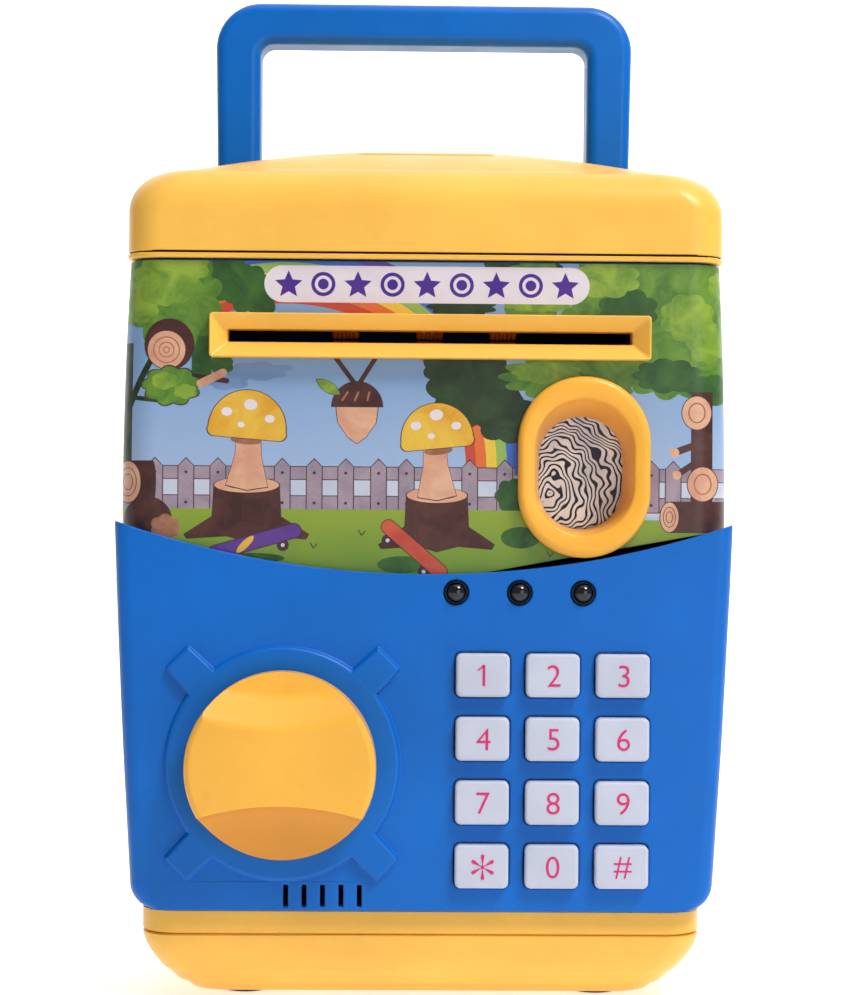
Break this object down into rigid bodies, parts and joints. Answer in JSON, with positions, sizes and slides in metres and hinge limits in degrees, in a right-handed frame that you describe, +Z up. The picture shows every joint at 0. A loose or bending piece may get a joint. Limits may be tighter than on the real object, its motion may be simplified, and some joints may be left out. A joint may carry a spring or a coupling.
{
  "type": "toy cash machine savings bank",
  "caption": "Toy savings bank shaped like a cash machine, with a note feeder, a keypad, a knob-latched front door and a telescoping carry handle.",
  "frame": {"origin": "middle of the bounding box's bottom, on the surface that the feet stand on", "axes": "+Z up, -Y out of the front with its door and keypad, +X to the right as seen from the front"},
  "size_m": [0.137, 0.13, 0.234],
  "materials": {
    "blue_plastic": "moulded, satin gloss",
    "yellow_plastic": "moulded, satin gloss",
    "printed_label": "printed film, satin",
    "key_plastic": "moulded, satin gloss",
    "gear_plastic": "moulded, unpainted",
    "smoked_lens": "polished dark lens",
    "grey_plastic": "moulded, lightly textured",
    "silicone_rubber": "matt",
    "foot_rubber": "matt",
    "roller_rubber": "ground",
    "circuit_board": "solder mask",
    "steel": "plated",
    "motor_can": "drawn and plated",
    "speaker_cone": "paper cone in a dark frame",
    "pad_foil": "silver foil printed with dark ridges",
    "battery_skin": "shrink sleeve"
  },
  "bodies": {
    "case": {"rear_shell": "blue_plastic", "upper_front_shell": "blue_plastic", "scenery_label": "printed_label", "top_cap": "yellow_plastic", "base_tray": "yellow_plastic", "inner_floor": "grey_plastic", "case_screw_1": "steel", "case_screw_2": "steel", "case_screw_3": "steel", "case_screw_4": "steel", "foot_1": "foot_rubber", "foot_2": "foot_rubber", "foot_3": "foot_rubber", "foot_4": "foot_rubber", "slot_bezel": "yellow_plastic", "fingerprint_bezel": "yellow_plastic", "fingerprint_switch_board": "circuit_board", "hinge_pin_upper": "steel", "hinge_pin_lower": "steel", "latch_striker": "steel", "handle_guide_left": "grey_plastic", "handle_guide_right": "grey_plastic", "feeder_bracket": "grey_plastic", "feed_motor": "motor_can", "battery_holder": "grey_plastic", "battery_1": "battery_skin", "battery_2": "battery_skin", "battery_3": "battery_skin", "battery_cover": "yellow_plastic", "battery_cover_screw": "steel"},
    "door": {"front_door": "blue_plastic", "door_liner": "grey_plastic", "keypad_membrane": "silicone_rubber", "keypad_board": "circuit_board", "speaker": "speaker_cone", "lock_solenoid": "motor_can", "indicator_lamp_1": "smoked_lens", "indicator_lamp_2": "smoked_lens", "indicator_lamp_3": "smoked_lens"},
    "knob": {"door_knob": "yellow_plastic", "knob_spindle": "steel", "latch_cam": "steel"},
    "button_1": {"key_1": "key_plastic"},
    "button_2": {"key_2": "key_plastic"},
    "button_3": {"key_3": "key_plastic"},
    "button_4": {"key_4": "key_plastic"},
    "button_5": {"key_5": "key_plastic"},
    "button_6": {"key_6": "key_plastic"},
    "button_7": {"key_7": "key_plastic"},
    "button_8": {"key_8": "key_plastic"},
    "button_9": {"key_9": "key_plastic"},
    "button_star": {"key_star": "key_plastic"},
    "button_0": {"key_0": "key_plastic"},
    "button_hash": {"key_hash": "key_plastic"},
    "print_pad": {"fingerprint_pad": "pad_foil"},
    "handle": {"carry_handle": "blue_plastic"},
    "drive_shaft": {"drive_roller": "roller_rubber", "roller_gear": "gear_plastic"},
    "pinch_shaft": {"pinch_roller": "roller_rubber"},
    "pinion_shaft": {"motor_pinion": "gear_plastic"}
  },
  "joints": [
    {"name": "door_hinge", "type": "hinge", "parent": "case", "child": "door", "pos_m": [0.0627, -0.042, 0.059], "axis": [0, 0, 1], "range_deg": [0, 95]},
    {"name": "knob_turn", "type": "hinge", "parent": "door", "child": "knob", "pos_m": [-0.0311, -0.05, 0.0539], "axis": [0, 1, 0], "range_deg": [0, 90]},
    {"name": "press_1", "type": "slide", "parent": "door", "child": "button_1", "axis": [0, 1, 0], "range_m": [0, 0.0018], "stiffness_N_per_m": 150},
    {"name": "press_2", "type": "slide", "parent": "door", "child": "button_2", "axis": [0, 1, 0], "range_m": [0, 0.0018], "stiffness_N_per_m": 150},
    {"name": "press_3", "type": "slide", "parent": "door", "child": "button_3", "axis": [0, 1, 0], "range_m": [0, 0.0018], "stiffness_N_per_m": 150},
    {"name": "press_4", "type": "slide", "parent": "door", "child": "button_4", "axis": [0, 1, 0], "range_m": [0, 0.0018], "stiffness_N_per_m": 150},
    {"name": "press_5", "type": "slide", "parent": "door", "child": "button_5", "axis": [0, 1, 0], "range_m": [0, 0.0018], "stiffness_N_per_m": 150},
    {"name": "press_6", "type": "slide", "parent": "door", "child": "button_6", "axis": [0, 1, 0], "range_m": [0, 0.0018], "stiffness_N_per_m": 150},
    {"name": "press_7", "type": "slide", "parent": "door", "child": "button_7", "axis": [0, 1, 0], "range_m": [0, 0.0018], "stiffness_N_per_m": 150},
    {"name": "press_8", "type": "slide", "parent": "door", "child": "button_8", "axis": [0, 1, 0], "range_m": [0, 0.0018], "stiffness_N_per_m": 150},
    {"name": "press_9", "type": "slide", "parent": "door", "child": "button_9", "axis": [0, 1, 0], "range_m": [0, 0.0018], "stiffness_N_per_m": 150},
    {"name": "press_star", "type": "slide", "parent": "door", "child": "button_star", "axis": [0, 1, 0], "range_m": [0, 0.0018], "stiffness_N_per_m": 150},
    {"name": "press_0", "type": "slide", "parent": "door", "child": "button_0", "axis": [0, 1, 0], "range_m": [0, 0.0018], "stiffness_N_per_m": 150},
    {"name": "press_hash", "type": "slide", "parent": "door", "child": "button_hash", "axis": [0, 1, 0], "range_m": [0, 0.0018], "stiffness_N_per_m": 150},
    {"name": "pad_press", "type": "slide", "parent": "case", "child": "print_pad", "axis": [0, 1, 0], "range_m": [0, 0.001], "stiffness_N_per_m": 300},
    {"name": "handle_slide", "type": "slide", "parent": "case", "child": "handle", "axis": [0, 0, -1], "range_m": [0, 0.025]},
    {"name": "drive_spin", "type": "hinge", "parent": "case", "child": "drive_shaft", "pos_m": [0, -0.038, 0.14405], "axis": [1, 0, 0], "continuous": true},
    {"name": "pinch_spin", "type": "hinge", "parent": "case", "child": "pinch_shaft", "pos_m": [0, -0.038, 0.15335], "axis": [1, 0, 0], "continuous": true},
    {"name": "pinion_spin", "type": "hinge", "parent": "case", "child": "pinion_shaft", "pos_m": [-0.052, -0.02891, 0.1388], "axis": [1, 0, 0], "continuous": true}
  ],
  "couplings": [
    {"joint": "pinch_spin", "follows": "drive_spin", "ratio": -1},
    {"joint": "pinion_spin", "follows": "drive_spin", "ratio": -1.5}
  ]
}
